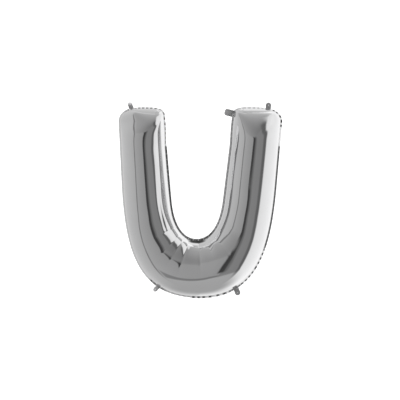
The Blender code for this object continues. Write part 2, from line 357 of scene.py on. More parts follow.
class Nodes:
    """A node tree under construction."""

    def __init__(self, tree):
        self.tree = tree

    def plug(self, value, slot):
        """Links a field to a slot, or sets a plain value on it."""
        if isinstance(value, Field):
            self.tree.links.new(value.socket, slot)
        else:
            slot.default_value = value

    def node(self, kind, inputs, **settings):
        """A new node, its inputs plugged by name or number."""
        made = self.tree.nodes.new(kind)
        for key, value in settings.items():
            setattr(made, key, value)
        for label, value in inputs.items():
            self.plug(value, made.inputs[label])
        return made

    def field(self, kind, inputs, output=0, **settings):
        """One output of a new node."""
        return Field(self, self.node(kind, inputs, **settings).outputs[output])

    def vector(self, x, y, z):
        return self.field("ShaderNodeCombineXYZ", {0: x, 1: y, 2: z})

    def noise(self, vector, scale, detail):
        inputs = {"Vector": vector, "Scale": scale, "Detail": detail}
        return self.field("ShaderNodeTexNoise", inputs)

    def axes(self, kind):
        """X, Y and Z of a texture coordinate."""
        place = self.field("ShaderNodeTexCoord", {}, kind)
        parts = self.node("ShaderNodeSeparateXYZ", {0: place})
        return [Field(self, socket) for socket in parts.outputs]


class Tree(Nodes):
    """A Geometry Nodes tree with named inputs for its sizes and a realized end."""

    def __init__(self, name, sizes):
        super().__init__(bpy.data.node_groups.new(name, "GeometryNodeTree"))
        face = self.tree.interface
        face.new_socket("Geometry", in_out="INPUT", socket_type="NodeSocketGeometry")
        face.new_socket("Geometry", in_out="OUTPUT", socket_type="NodeSocketGeometry")
        for label, value in sizes.items():
            socket = face.new_socket(label, in_out="INPUT", socket_type="NodeSocketFloat")
            socket.default_value = value
        face.new_socket("Material", in_out="INPUT", socket_type="NodeSocketMaterial")
        self.start = self.node("NodeGroupInput", {})
        self.geometry = self.value("Geometry")

    def value(self, label):
        return Field(self, self.start.outputs[label])

    def attribute(self, name):
        return self.field(
            "GeometryNodeInputNamedAttribute", {"Name": name}, "Attribute", data_type="FLOAT"
        )

    def move(self, offset):
        inputs = {"Geometry": self.geometry, "Offset": offset}
        self.geometry = self.field("GeometryNodeSetPosition", inputs)

    def move_inwards(self, depth):
        """Moves each point against its normal."""
        normal = self.field("GeometryNodeInputNormal", {})
        inputs = {0: normal, "Scale": depth * -1.0}
        self.move(self.field("ShaderNodeVectorMath", inputs, operation="SCALE"))

    def store(self, name, field):
        inputs = {"Geometry": self.geometry, "Name": name, "Value": field}
        self.geometry = self.field(
            "GeometryNodeStoreNamedAttribute", inputs, data_type="FLOAT", domain="POINT"
        )

    def close(self):
        smooth = self.field("GeometryNodeSetShadeSmooth", {0: self.geometry})
        real = self.field("GeometryNodeRealizeInstances", {0: smooth})
        inputs = {0: real, "Material": self.value("Material")}
        self.node("NodeGroupOutput", {0: self.field("GeometryNodeSetMaterial", inputs)})
        return self.tree


class Look(Nodes):
    """A material under construction, on Object coordinates."""

    def __init__(self, name):
        self.material = bpy.data.materials.new(name)
        self.material.use_nodes = True
        super().__init__(self.material.node_tree)
        self.place = self.field("ShaderNodeTexCoord", {}, "Object")

    def grain(self, scale, detail):
        return self.noise(self.place, scale, detail)

    def attribute(self, name):
        return self.field("ShaderNodeAttribute", {}, "Fac", attribute_name=name)

    def close(self, values):
        """The material, its shader's inputs plugged by name."""
        for label, value in values.items():
            self.plug(value, self.tree.nodes["Principled BSDF"].inputs[label])
        return self.material


def shaped(name, mesh, tree, values):
    """A plain mesh object made by running a tree on a mesh, its inputs set by label."""
    base = bpy.data.objects.new(name + "_base", mesh)
    bpy.context.scene.collection.objects.link(base)
    modifier = base.modifiers.new("shape", "NODES")
    modifier.node_group = tree
    labels = {item.name: item.identifier for item in tree.interface.items_tree}
    for label, value in values.items():
        modifier[labels[label]] = value
    bpy.context.view_layer.update()
    graph = bpy.context.evaluated_depsgraph_get()
    made = bpy.data.meshes.new_from_object(
        base.evaluated_get(graph), preserve_all_data_layers=True, depsgraph=graph
    )
    bpy.data.objects.remove(base, do_unlink=True)
    made.name = name
    obj = bpy.data.objects.new(name, made)
    bpy.context.scene.collection.objects.link(obj)
    return obj


def finished(obj, wall_name, thickness, offset, node):
    """Gives a piece its wall and hands it to the frame in place of its CAD node."""
    wall = obj.modifiers.new(wall_name, "SOLIDIFY")
    wall.thickness = thickness
    wall.offset = offset
    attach(obj, "root")
    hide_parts(node)


def flat_mesh(name, points, faces, table):
    """A flat mesh in the XZ plane, with a number at each point under each name."""
    mesh = bpy.data.meshes.new(name)
    mesh.from_pydata([(x, 0.0, z) for x, z in points], [], faces)
    for key, values in table.items():
        attribute = mesh.attributes.new(key, "FLOAT", "POINT")
        attribute.data.foreach_set("value", np.ascontiguousarray(values, np.float32).ravel())
    mesh.update()
    return mesh


def grid_faces(rows, columns):
    """Quads of a grid of points, one array row for each."""
    first = (np.arange(rows - 1)[:, None] * columns + np.arange(columns - 1)[None]).ravel()
    return np.stack([first, first + columns, first + columns + 1, first + 1], 1)


def ring_faces(rings, count):
    """Quads between closed rings that have the same count of points."""
    first = np.arange((rings - 1) * count).reshape(-1, count)
    after = np.roll(first, -1, axis=1)
    return np.stack([first, first + count, after + count, after], 2).reshape(-1, 4).tolist()


def ramp(values, start, end):
    """0 at the start, 1 at the end and straight between."""
    return np.clip((values - start) / (end - start), 0.0, 1.0)


def eased(share):
    """A straight ramp turned into an even S."""
    return share * share * (3.0 - 2.0 * share)


def guide_curve(bottom_z, bottom_reach, waist, waist_reach, top_x):
    """Samples of one seam curve's right half, from the bottom up to the arm's top."""
    bottom = np.array([0.0, bottom_z])
    middle = np.array(waist)
    top = np.array([top_x, GUIDE_TOP_Z])
    along_arm = (top - middle) / np.linalg.norm(top - middle)
    from_bottom = bottom + np.array([bottom_reach, 0.0])
    to_waist = middle - along_arm * waist_reach
    t = np.linspace(0.0, 1.0, CURVE_SAMPLES)[:, None]
    bend = (1 - t) ** 3 * bottom + 3 * (1 - t) ** 2 * t * from_bottom
    bend += 3 * (1 - t) * t**2 * to_waist + t**3 * middle
    arm = middle + t[1:] * (top - middle)
    return np.vstack([bend, arm])


OUTER_GUIDE = guide_curve(
    OUTER_BOTTOM_Z, OUTER_BOTTOM_REACH, OUTER_WAIST, OUTER_WAIST_REACH, OUTER_TOP_X
)
INNER_GUIDE = guide_curve(
    INNER_BOTTOM_Z, INNER_BOTTOM_REACH, INNER_WAIST, INNER_WAIST_REACH, INNER_TOP_X
)


def points_at_height(guide, side, shift, z):
    return np.column_stack([shift + side * np.interp(z, guide[:, 1], guide[:, 0]), z])


def points_at_angle(guide, side, shift, angle):
    x = side * guide[:, 0] + shift - INNER_SHIFT_X
    z = guide[:, 1] - BEND_CENTRE_Z
    below = z < BEND_UP_TO
    angles = np.arctan2(side * x[below], -z[below])
    radius = np.interp(angle, angles, np.hypot(x[below], z[below]))
    across = INNER_SHIFT_X + side * radius * np.sin(angle)
    return np.column_stack([across, BEND_CENTRE_Z - radius * np.cos(angle)])


def evened(values, reach):
    """A row table smoothed along the letter, kept over twice the reach from its two ends."""
    kernel = np.hanning(2 * reach + 3)[1:-1]
    kernel /= kernel.sum()
    before, after = np.repeat(values[:1], reach, 0), np.repeat(values[-1:], reach, 0)
    padded = np.concatenate([before, values, after])
    smooth = np.stack([np.convolve(column, kernel, "valid") for column in padded.T], 1)
    place = np.arange(len(values))
    inside = np.clip(np.minimum(place, place[::-1]) / reach - 2.0, 0.0, 1.0)[:, None]
    return values + (smooth - values) * inside


def arm_rows(side):
    """Rows of one arm from its top down: outer and inner seam points, distance from the
    top, the two corners' cuts and the bend angle, which runs on past the bend's end."""
    mean_radius = (OUTER_TOP_X - INNER_TOP_X) / 2
    steps = np.linspace(0.0, math.pi / 2, END_ROWS + 1)
    drops = END_REACH[side] * mean_radius * (1.0 - np.cos(steps))
    last = ARM_TOP_Z[side] - BEND_CENTRE_Z
    drops = np.concatenate([drops, np.linspace(drops[-1], last, ARM_ROWS + 1)[1:]])
    heights = ARM_TOP_Z[side] - drops
    cuts = []
    for width, height in (OUTER_CORNER, INNER_CORNER):
        rise = np.clip(1.0 - drops / height, 0.0, 1.0)
        cuts.append(width * (1.0 - np.sqrt(1.0 - rise * rise)))
    outer = points_at_height(OUTER_GUIDE, side, 0.0, heights)
    inner = points_at_height(INNER_GUIDE, side, INNER_SHIFT_X, heights)
    inner[:, 0] -= side * INNER_FLARE * (1.0 - eased(ramp(drops, *INNER_FLARE_FADE)))
    over = np.clip(heights - BEND_CENTRE_Z, 0.0, None)
    return outer, inner, drops, np.stack(cuts, 1), side * (90.0 + ARM_DEGREES * over)


def letter_rows():
    """Rows round the letter, from the left arm's top to the right arm's: outer and inner
    seam points, distance from the arm's top, side of the letter, bend angle in degrees and
    half the width before the corners are cut."""
    turns = np.pi * (np.arange(1, BEND_ROWS) / BEND_ROWS - 0.5)

    def bend_points(guide, shift):
        sides = [points_at_angle(guide, side, shift, abs(turns)) for side in (-1, 1)]
        return np.where((turns < 0)[:, None], *sides)

    arms = {side: arm_rows(side) for side in (-1, 1)}
    bend = (
        bend_points(OUTER_GUIDE, 0.0),
        bend_points(INNER_GUIDE, INNER_SHIFT_X),
        np.where(turns < 0, ARM_TOP_Z[-1], ARM_TOP_Z[1]) - BEND_CENTRE_Z,
        np.zeros((len(turns), 2)),
        np.degrees(turns),
    )
    stacked = [np.concatenate([arms[-1][k], bend[k], arms[1][k][::-1]]) for k in range(5)]
    outer, inner, drop, cut, angle = stacked
    side = np.where(angle < 0, -1, 1)
    outer = evened(outer, ROW_SMOOTHING)
    inner = evened(inner, ROW_SMOOTHING)
    open_width = np.linalg.norm(inner - outer, axis=1) / 2
    outer[:, 0] -= side * cut[:, 0]
    inner[:, 0] += side * cut[:, 1]
    return outer, inner, drop, side, angle, open_width


def lengths_along(points):
    steps = np.linalg.norm(np.diff(points, axis=0), axis=1)
    return np.concatenate([[0.0], np.cumsum(steps)])


def tightness(points):
    """0 where the film at the seam lies smooth, 1 where its spare length puckers."""
    x, z = points[:, 0], points[:, 1]
    radius = np.hypot(x, z - BEND_CENTRE_Z)
    near_bend = ramp(z, *PUCKER_DOWN) * (radius > PUCKER_RADIUS)
    slack = np.maximum(ramp(z, *PUCKER_UP) ** 1.5, near_bend)
    for _, tab_x, tab_z, *_ in TABS:
        gap = np.hypot(x - tab_x, z - tab_z)
        slack = slack * (1.0 - TAB_HOLD * np.exp(-((gap / TAB_HOLD_REACH) ** 2)))
    return PUCKER_LEAST + (1.0 - PUCKER_LEAST) * slack


def depth_sway(angle):
    """The bend is a little flatter left of its lowest point and fuller right of it."""
    turned = eased(ramp(angle, *BEND_SWAY_ANGLES)) * 2.0 - 1.0
    over = abs(angle) - BEND_SWAY_ANGLES[1]
    return BEND_SWAY * turned * eased(np.clip(1.0 - over / BEND_SWAY_FADE, 0.0, 1.0))


def skewed(share, angle, drop, side):
    """Shares across the panel, moved so that its ridge lies nearer the inner seam."""
    skew = np.interp(angle, SKEW_ANGLES, SECTION_SKEW)
    near_top = np.exp(-((drop / TOP_SKEW_FADE) ** 3))
    skew = skew + near_top * np.where(side < 0, TOP_SKEW[-1], TOP_SKEW[1])
    across = share[None, :] - skew[:, None] * (1.0 - share[None, :] ** 2)
    for middle, width, angles, amounts in FLANKS:
        amount = np.interp(angle, angles, amounts)[:, None]
        across = across + amount * np.exp(-(((share[None, :] - middle) / width) ** 2))
    return across


def letter_grid():
    """The film's grid in the seam plane, what the inflation rule needs at each point, the
    seam as a closed loop and how far round the letter each point of the loop lies."""
    outer, inner, drop, side, angle, open_width = letter_rows()
    share = np.linspace(-1.0, 1.0, ACROSS + 1)
    middle = (outer + inner) / 2
    half = (inner - outer) / 2
    flat = middle[:, None] + half[:, None] * np.sin(np.pi / 2 * share)[None, :, None]
    lowered = TOP_EDGE_ARCH * np.exp(-drop / TOP_EDGE_FADE)
    flat[:, :, 1] -= lowered[:, None] * share[None, :] ** 2
    half_width = np.linalg.norm(half, axis=1)
    into_bend = eased(ramp(middle[:, 1], *BEND_DEPTH_HEIGHTS))
    full = open_width * (1.0 - (1.0 - BEND_DEPTH_SHARE) * into_bend) * (1.0 + depth_sway(angle))
    end_reach = np.where(side < 0, END_REACH[-1], END_REACH[1]) * full
    short = np.clip(1.0 - drop / end_reach, 0.0, 1.0)
    bowed = np.arccos(short) * (full + end_reach) / 2
    bowed += np.clip(drop - end_reach, 0.0, None)
    quarter = half_width[:, None] * np.pi / 2

    sides = (flat[:, 0], flat[-1], flat[::-1, -1], flat[0, ::-1])
    lengths = [lengths_along(line) for line in sides]
    starts = np.cumsum([0.0, *[length[-1] for length in lengths]])
    ways = [(start + length) / starts[-1] for start, length in zip(starts, lengths)]
    loop = np.vstack([sides[0], *[line[1:] for line in sides[1:]]])[:-1]
    loop_u = np.concatenate([ways[0], *[way[1:] for way in ways[1:]]])[:-1]
    rows, columns = flat.shape[:2]

    def by_row(values):
        return np.broadcast_to(values[:, None], (rows, columns))

    def by_nearer_top(at_left, at_right):
        return np.where((np.arange(rows) < rows / 2)[:, None], at_left[None], at_right[None])

    grid = {
        "across": skewed(share, angle, drop, side),
        "full": by_row(full),
        "half_width": by_row(half_width),
        "short": by_row(short),
        "angle": by_row(angle),
        "u_outer": by_row(ways[0]),
        "u_inner": by_row(ways[2][::-1]),
        "u_top": by_nearer_top(ways[3][::-1], ways[1]),
        "d_outer": quarter * (1.0 + share[None, :]),
        "d_inner": quarter * (1.0 - share[None, :]),
        "d_top": by_row(bowed),
        "slack_outer": by_row(tightness(flat[:, 0])),
        "slack_inner": by_row(tightness(flat[:, -1])),
        "slack_top": by_nearer_top(tightness(flat[0]), tightness(flat[-1])),
    }
    return flat, grid, loop, loop_u


def drifted(phase, turn, waves):
    """A value shifted by slow waves round the letter: count, start and size of each."""
    for count, start, size in waves:
        phase = phase + (turn * count + start).sin() * size
    return phase


def seam_wave(t, u, slack):
    """How far the sealed edge swings out of its plane, at share u of the way round."""
    turn = u * (2.0 * math.pi)
    phase = drifted(turn * t.value("Ruffle Count"), turn, RUFFLE_DRIFT)
    phase = phase - u.smooth(*FOOT_SHARES) * (2.0 * math.pi * FOOT_WAVES_LESS)
    start, size = RUFFLE_OVERTONE
    swing = phase.sin() + (phase * 2.0 + start).sin() * size
    height = drifted(RUFFLE_HEIGHT, turn, RUFFLE_HEIGHT_DRIFT)
    return swing * height * slack * t.value("Ruffle Depth")


def film_tree():
    """Inflates a flat panel: tube section, pillow ends, edge ruffle, and the creases,
    grooves, hollow and pleats beside the inner seam."""
    sizes = {
        "Facing": -1.0,
        "End Sharpness": 6.0,
        "Rim": 0.0004,
        "Ruffle Depth": 0.0024,
        "Ruffle Count": 176.0,
        "Ruffle Reach": 0.020,
        "Crease Depth": 0.003,
        "Groove Depth": 0.0015,
        "Hollow Depth": 0.0065,
        "Pleat Depth": 0.0004,
        "Pleat Spacing": 0.030,
    }
    t = Tree("Inflated film", sizes)
    sharp = t.value("End Sharpness")
    short = t.attribute("short")
    side_share = (t.attribute("across") * (math.pi / 2)).cos().at_least(1e-5)
    end_share = ((1.0 - short * short).at_least(1e-10)) ** 0.5
    mixed = side_share ** (sharp * -1.0) + end_share ** (sharp * -1.0) - 1.0
    depth = t.attribute("full") * mixed ** (sharp ** -1.0 * -1.0)
    t.move(t.vector(0.0, t.value("Facing") * (depth + t.value("Rim")), 0.0))

    # edge ruffle, mostly that of the nearest seam, fading over the reach
    waves, weights = [], []
    for edge in ("outer", "inner", "top"):
        distance = t.attribute("d_" + edge)
        wave = seam_wave(t, t.attribute("u_" + edge), t.attribute("slack_" + edge))
        weight = (distance * distance + 1e-7) ** -1.0
        waves.append(wave * distance.decay(t.value("Ruffle Reach")) * weight)
        weights.append(weight)
    t.move(t.vector(0.0, sum(waves) / sum(weights), 0.0))

    # sharp valleys along rays of the bend, then the grooves and the hollow
    inner = t.attribute("d_inner")
    from_inner = inner / (t.attribute("half_width") * math.pi)
    angle = t.attribute("angle")
    creases = []
    for degrees, reach, strength in BEND_CREASES:
        away = abs(angle - degrees)
        valley = sum(away.decay(width) * part for width, part in CREASE_VALLEYS)
        fade = 1.0 - from_inner.smooth(reach * CREASE_FADE_FROM, reach)
        creases.append(valley * from_inner.smooth(*CREASE_RISE) * fade * strength)
    sunk = sum(creases) * t.value("Crease Depth")
    for place, width, strength, *window in GROOVES:
        off = (from_inner - place) / width
        groove = (off * off).decay(1.0) * angle.between(*window)
        sunk = sunk + groove * strength * t.value("Groove Depth")
    hollow = from_inner.between(*HOLLOW_SHARES) * angle.between(*HOLLOW_ANGLES)
    t.move_inwards(sunk + hollow * t.value("Hollow Depth"))
    # Painted shade in the gutter beside the inner seam at the foot of the bend
    t.store("painted_shade", angle.between(*GUTTER_ANGLES) * (1.0 - inner.smooth(*GUTTER_END)))

    # pleats that run along beside the inner seam and die out across the panel
    round_letter = t.attribute("u_inner") * (2.0 * math.pi)
    phase = inner * (2.0 * math.pi) / t.value("Pleat Spacing")
    pleat = drifted(phase, round_letter, PLEAT_DRIFT).sin()
    pleat = pleat * inner.decay(PLEAT_REACH) * inner.smooth(*PLEAT_RISE)
    t.move_inwards(pleat * t.value("Pleat Depth") * -1.0)
    edge = t.attribute("d_outer").at_most(inner).at_most(t.attribute("d_top"))
    t.store("edge_distance", edge)
    return t.close()


def seal_tree():
    """Waves a flat ribbon out of its plane as the film beside it waves, with painted shade on its
    waves.
    """
    sizes = {"Ruffle Depth": 0.0024, "Ruffle Count": 176.0, "Flare": 0.5, "Seal Width": 0.009}
    t = Tree("Sealed edge", sizes)
    wave = seam_wave(t, t.attribute("u"), t.attribute("slack"))
    out = t.attribute("out")
    back = t.attribute("lean") * out * t.value("Seal Width")
    t.move(t.vector(0.0, wave * (out * t.value("Flare") + 1.0) + back, 0.0))
    # Painted shade on one side of each wave, as dark as the zone's shade asks
    fold_shade = (wave / t.value("Ruffle Depth")).smooth(0.10, 0.26)
    t.store("painted_shade", fold_shade * t.attribute("shade"))
    return t.close()


def toned(color, share):
    return (*[part * share for part in color], 1.0)


def foil(name, color, roughness, crinkle, seam_crinkle=0.0):
    """Metallised film: mirror bright, with a fine crinkle that may grow at the seams."""
    look = Look(name)
    inputs = {0: look.grain(9.0, 2.0), 1: toned(color, PATCH_TONE), 2: toned(color, 1.0)}
    tone = look.field("ShaderNodeMixRGB", inputs)
    # Painted shade: the colour darkens where the piece's stored shade attribute is high, in folds,
    # seal waves and the gutter
    inputs = {0: look.attribute("painted_shade"), 1: tone, 2: toned(color, PAINTED_SHADE_TONE)}
    shade = look.field("ShaderNodeMixRGB", inputs)
    edge = look.attribute("edge_distance").decay(SEAM_CRINKLE_REACH)
    amount = edge * seam_crinkle + crinkle
    height = (look.grain(70.0, 3.0) + look.grain(210.0, 2.0) * 0.4) * amount
    across = look.attribute("d_outer") * STREAKS_ACROSS
    along = look.attribute("u_outer") * STREAKS_ROUND
    height = height + look.noise(look.vector(across, along, 0.0), 1.0, 2.0) * STREAK_DEPTH
    inputs = {"Strength": 1.0, "Distance": 1.0, "Height": height}
    return look.close({
        "Metallic": 1.0,
        "Base Color": shade,
        "Roughness": look.grain(26.0, 3.0) * (roughness * 0.7) + roughness * 0.65,
        "Normal": look.field("ShaderNodeBump", inputs),
    })


def clear_film(name, color):
    """Clear plastic film with a light haze."""
    look = Look(name)
    return look.close({
        "Base Color": toned(color, 1.0),
        "IOR": 1.49,
        "Transmission Weight": 0.6,
        "Roughness": look.grain(120.0, 2.0) * 0.2 + 0.15,
    })


def length_property(name, description, default):
    """A length that the user may change."""
    return bpy.props.FloatProperty(
        name=name, description=description, unit="LENGTH", default=default
    )


class FoilProperties(bpy.types.PropertyGroup):
    film_color: bpy.props.FloatVectorProperty(
        name="Film colour", description="Colour of the metallised film",
        subtype="COLOR", size=3, min=0.0, max=1.0, default=(0.82, 0.82, 0.825),
    )
    film_roughness: bpy.props.FloatProperty(
        name="Film roughness", description="Haze of the film's mirror",
        min=0.0, max=1.0, default=0.06,
    )
    film_thickness: length_property("Film thickness", "Wall given to the film's mesh", 0.0003)
    seal_width: length_property("Seal width", "Width of the flat sealed edge outside the seam", 0.009)
    seal_thickness: length_property("Seal thickness", "Two plies of film sealed together", 0.0006)
    ruffle_depth: length_property(
        "Ruffle depth", "How far the sealed edge swings out of its plane", 0.0024
    )
    ruffle_count: bpy.props.IntProperty(
        name="Ruffle count", description="Waves of the sealed edge all round the letter",
        default=176,
    )
    crease_depth: length_property("Crease depth", "Depth of the creases at the inner bend", 0.0030)
    pleat_depth: length_property("Pleat depth", "Depth of the pleats beside the inner seam", 0.0004)


class StudioProperties(bpy.types.PropertyGroup):
    camera_distance: length_property("Camera distance", "Camera to the plane of the sealed edge", 7.0)
    camera_right: length_property(
        "Camera offset", "Camera to the right of the balloon's middle", 0.0061
    )
    camera_roll: bpy.props.FloatProperty(
        name="Camera roll", description="Turn of the camera about its view",
        subtype="ANGLE", default=math.radians(1.075),
    )
    view_width: length_property("View width", "Width of the picture in the balloon's plane", 2.111)
    floor_height: length_property(
        "Floor height", "Height of the floor, the balloon's middle is 0", -1.25
    )


class BALLOON_OT_camera(bpy.types.Operator):
    """Places the camera level in front of the balloon and square to it"""

    bl_idname = "balloon.camera"
    bl_label = "Camera"

    def execute(self, context):
        studio = context.scene.balloon_studio
        data = bpy.data.cameras.new("camera")
        data.sensor_width = SENSOR_WIDTH
        data.lens = data.sensor_width * studio.camera_distance / studio.view_width
        data.clip_start, data.clip_end = CLIP
        camera = bpy.data.objects.new("camera", data)
        context.scene.collection.objects.link(camera)
        x, z = PICTURE_CENTRE
        place = Vector((studio.camera_right, -studio.camera_distance, z))
        aim = Vector((x, 0.0, z)) - place
        turn = aim.to_track_quat("-Z", "Y").to_matrix().to_4x4()
        roll = Matrix.Rotation(studio.camera_roll, 4, "Z")
        camera.matrix_world = Matrix.Translation(place) @ turn @ roll
        context.scene.camera = camera
        return {"FINISHED"}


def studio_world():
    """Pale studio: walls, floor and ceiling that the film mirrors."""
    world = bpy.data.worlds.new("studio")
    world.use_nodes = True
    nodes = Nodes(world.node_tree)
    x, y, z = nodes.axes("Generated")
    azimuth = x.math("ARCTAN2", y * -1.0) * (180.0 / math.pi)
    elevation = z.math("ARCSINE") * (180.0 / math.pi)
    below = z.at_most(0.0)
    across = x / (1.0001 - below * below) ** 0.5
    lean = x.smooth(*LEAN_ACROSS) * (BORDER_LEAN[1] - BORDER_LEAN[0]) + BORDER_LEAN[0]
    leaned = across + z.at_least(0.0) * z.smooth(*LEAN_UPWARDS) * lean
    ahead = leaned.at_least(-1.0).at_most(1.0).math("ARCSINE") * (180.0 / math.pi)
    away = ahead + (azimuth - ahead) * y.smooth(*AZIMUTH_FROM)
    rise = azimuth.at_least(0.0) * TOP_RISE[1] - azimuth.at_most(0.0) * TOP_RISE[0]
    raised = elevation - rise * (1.0 - abs(azimuth).smooth(*TOP_RISE_END))
    light = azimuth * 0.0 + STUDIO_BASE
    for _, left, right, soft, low, high, blur, dim, bright in STUDIO_PARTS:
        inside = away.between(left - soft, left + soft, right - soft, right + soft)
        inside = inside * elevation.smooth(low - blur, low + blur)
        inside = inside * (1.0 - raised.smooth(high - blur, high + blur))
        brightness = (away - left) * ((bright - dim) / (right - left)) + dim
        light = light + (brightness - light) * inside
    brightness, start, full = STUDIO_FLOOR
    light = light + (brightness - light) * (1.0 - elevation.smooth(full, start))
    seen = nodes.field("ShaderNodeLightPath", {}, "Is Camera Ray")
    light = light + (1.0 - light) * seen
    nodes.plug(light, world.node_tree.nodes["Background"].inputs["Color"])
    return world


def floor_material():
    """Pale matt floor whose back part glows white by emission, painted light for the backdrop."""
    look = Look("pale floor")
    return look.close({
        "Base Color": (0.82, 0.82, 0.82, 1.0),
        "Roughness": 0.9,
        "Emission Color": (1.0, 1.0, 1.0, 1.0),
        # Painted light: from here back the floor glows white by emission
        "Emission Strength": look.axes("Object")[1].smooth(*FLOOR_GLOW_STRETCH) * FLOOR_GLOW,
    })


class BALLOON_OT_stage(bpy.types.Operator):
    """Lays the pale floor with its swept backdrop and sets the studio's light"""

    bl_idname = "balloon.stage"
    bl_label = "Stage"

    def execute(self, context):
        low = context.scene.balloon_studio.floor_height
        profile = [(-FLOOR_REACH, low), (SWEEP_START, low)]
        for k in range(1, SWEEP_STEPS + 1):
            turn = math.pi / 2 * k / SWEEP_STEPS
            forward, up = math.sin(turn), 1.0 - math.cos(turn)
            profile.append((SWEEP_START + SWEEP_RADIUS * forward, low + SWEEP_RADIUS * up))
        profile.append((SWEEP_START + SWEEP_RADIUS, BACKDROP_TOP))
        points = [(x, y, z) for y, z in profile for x in (-FLOOR_REACH, FLOOR_REACH)]
        faces = [(2 * k, 2 * k + 1, 2 * k + 3, 2 * k + 2) for k in range(len(profile) - 1)]
        mesh = bpy.data.meshes.new("floor")
        mesh.from_pydata(points, [], faces)
        mesh.shade_smooth()
        mesh.materials.append(floor_material())
        floor = bpy.data.objects.new("floor", mesh)
        context.scene.collection.objects.link(floor)
        floor.visible_glossy = False
        data = bpy.data.lights.new("overhead_softbox", "AREA")
        data.shape = "RECTANGLE"
        data.size, data.size_y = SOFTBOX_SIZE
        data.energy = SOFTBOX_POWER
        light = bpy.data.objects.new("overhead_softbox", data)
        light.location = SOFTBOX_PLACE
        light.visible_glossy = False
        context.scene.collection.objects.link(light)
        context.scene.world = studio_world()
        context.scene.view_settings.view_transform = "Standard"
        return {"FINISHED"}


class BALLOON_OT_film_panels(bpy.types.Operator):
    """Builds the front and the back film panel, inflated and creased"""

    bl_idname = "balloon.film_panels"
    bl_label = "Film panels"

    def execute(self, context):
        settings = context.scene.balloon_foil
        flat, grid, _, _ = letter_grid()
        faces = grid_faces(*flat.shape[:2])
        tree = film_tree()
        finish = (settings.film_roughness, PANEL_CRINKLE, SEAM_CRINKLE)
        values = {
            "Ruffle Depth": settings.ruffle_depth,
            "Ruffle Count": float(settings.ruffle_count),
            "Crease Depth": settings.crease_depth,
            "Pleat Depth": settings.pleat_depth,
            "Material": foil("mirror film", settings.film_color, *finish),
        }
        for node, facing in (("front_panel", -1.0), ("back_panel", 1.0)):
            corners = faces if facing < 0 else faces[:, ::-1]
            mesh = flat_mesh(node + "_grid", flat.reshape(-1, 2), corners.tolist(), grid)
            panel = shaped(node + "_film", mesh, tree, {"Facing": facing, **values})
            finished(panel, "film", settings.film_thickness, -1.0, node)
        return {"FINISHED"}


def edge_zones(points):
    """The sealed edge's slope towards the back, the painted shade of its folds and its width."""
    x, z = points[:, 0], points[:, 1]
    zoned = np.tile([[EDGE_LEAN], [0.0], [1.0]], len(points))
    for _, left, right, low, high, *there in EDGE_ZONES:
        inside = np.minimum.reduce([x - left, right - x, z - low, high - z])
        inside = np.clip(inside / EDGE_ZONE_FADE + 0.5, 0.0, 1.0)
        zoned += (np.array(there)[:, None] - zoned) * inside
    return zoned


def offset_loop(points, distance):
    """A closed loop moved outwards by a distance at each of its points."""
    along = np.roll(points, -1, axis=0) - np.roll(points, 1, axis=0)
    along /= np.linalg.norm(along, axis=1)[:, None]
    return points + distance[:, None] * np.column_stack([along[:, 1], -along[:, 0]])


class BALLOON_OT_sealed_edge(bpy.types.Operator):
    """Builds the flat heat-sealed edge round the letter, with its ruffle"""

    bl_idname = "balloon.sealed_edge"
    bl_label = "Sealed edge"

    def execute(self, context):
        settings = context.scene.balloon_foil
        _, _, loop, loop_u = letter_grid()
        lean, shade, width = edge_zones(loop)
        count = len(EDGE_RINGS)
        rings = [offset_loop(loop, share * settings.seal_width * width) for share in EDGE_RINGS]
        table = {
            "u": np.tile(loop_u, count),
            "slack": np.tile(tightness(loop), count),
            "out": np.repeat(np.clip(EDGE_RINGS, 0.0, 1.0), len(loop)),
            "lean": np.tile(lean, count),
            "shade": np.tile(shade, count),
        }
        faces = ring_faces(count, len(loop))
        mesh = flat_mesh("sealed_edge_ribbon", np.vstack(rings), faces, table)
        values = {
            "Ruffle Depth": settings.ruffle_depth,
            "Ruffle Count": float(settings.ruffle_count),
            "Seal Width": settings.seal_width,
            "Material": foil("sealed film", settings.film_color, *SEAL_FINISH),
        }
        edge = shaped("sealed_edge_ruffle", mesh, seal_tree(), values)
        thickness = settings.seal_thickness
        finished(edge, "two plies", thickness, 0.0, "sealed_edge")
        return {"FINISHED"}


def edge_swing(x, z):
    """Where the finished sealed edge lies in Y beside a point of its outer rim."""
    mesh = bpy.data.objects["sealed_edge_ruffle"].data
    points = np.zeros(len(mesh.vertices) * 3, np.float32)
    mesh.vertices.foreach_get("co", points)
    points = points.reshape(-1, 3)
    nearest = np.hypot(points[:, 0] - x, points[:, 2] - z).argmin()
    return float(points[nearest, 1])


def standing(t, crumples):
    """A flat piece's own x and z, its way up as a share, and where its crumples are read."""
    x, z = t.attribute("local_x"), t.attribute("local_z")
    up = (z / t.value("Length")).at_least(0.0)
    return x, z, up, t.vector(x * crumples, t.value("Seed"), z * crumples)


def tab_tree():
    """Curls, twists and crumples a flat tab that stands along its own +Z."""
    sizes = {"Length": 0.038, "Twist": 0.0, "Curl": 0.0, "Crumple": 0.0004, "Seed": 0.0}
    t = Tree("Hanging tab", sizes)
    x, _, up, place = standing(t, TAB_CRUMPLES)
    turn = t.value("Twist") * up
    ridged = abs(t.noise(place, 1.6, 2.0) - 0.5) * 2.0
    crumple = (ridged - 0.3) * t.value("Crumple") * up.at_most(1.0)
    bow = t.value("Curl") * up * up * t.value("Length")
    t.move(t.vector(x * turn.cos() - x, x * turn.sin() + bow + crumple, 0.0))
    return t.close()


